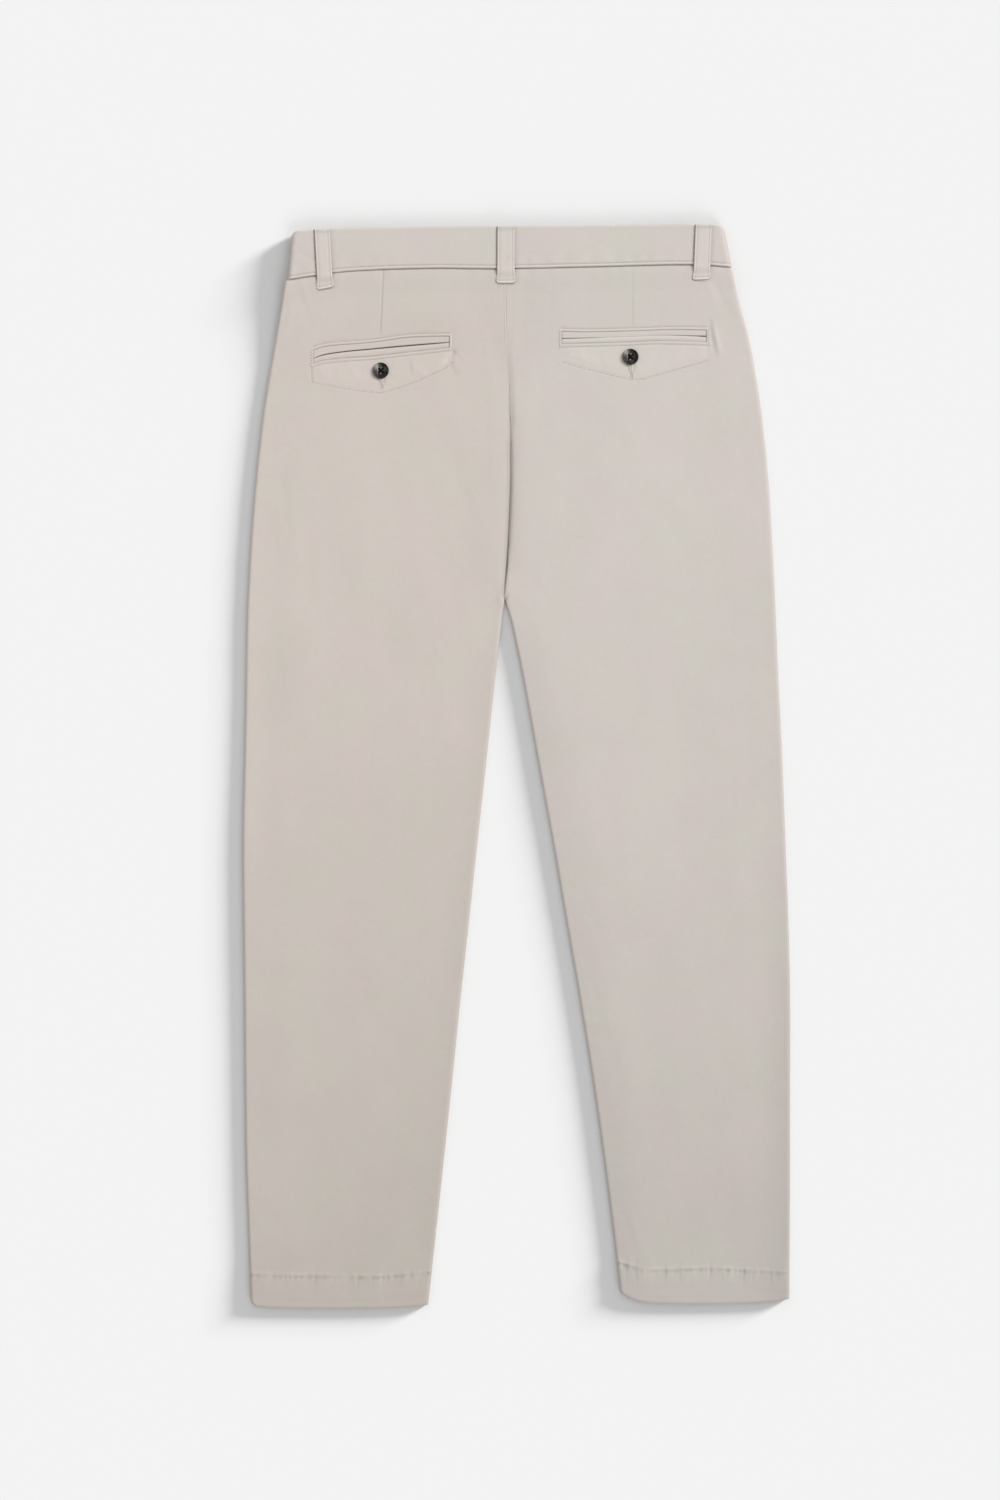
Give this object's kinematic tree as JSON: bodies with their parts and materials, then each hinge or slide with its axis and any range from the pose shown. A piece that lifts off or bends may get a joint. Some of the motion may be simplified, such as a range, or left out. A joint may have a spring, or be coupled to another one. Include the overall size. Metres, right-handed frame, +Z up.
{
  "type": "chino trousers",
  "caption": "Plain stone chino trousers laid flat, back up, with belt loops, buttoned double-welt back pockets with pointed stitched facings, slant front pockets and stitched hems.",
  "frame": {"origin": "on the surface the trousers lie on, in the middle of their outline seen from above", "axes": "+Y from the hems towards the waistband, +Z up off the surface, +X towards the wearer's right leg"},
  "size_m": [0.5258, 1.0405, 0.0139],
  "materials": {
    "twill": "light stone cotton twill, matt",
    "horn": "dark brown horn look, satin"
  },
  "bodies": {
    "root": {"back_left": "twill", "back_right": "twill", "front_left": "twill", "front_right": "twill", "front_pocket_left": "twill", "front_pocket_right": "twill", "waistband_left": "twill", "waistband_right": "twill", "belt_loop_back_left": "twill", "belt_loop_back_centre": "twill", "belt_loop_back_right": "twill", "belt_loop_front_left": "twill", "belt_loop_front_right": "twill", "pocket_welt_upper_left": "twill", "pocket_welt_lower_left": "twill", "pocket_button_left": "horn", "pocket_welt_upper_right": "twill", "pocket_welt_lower_right": "twill", "pocket_button_right": "horn"}
  },
  "joints": []
}
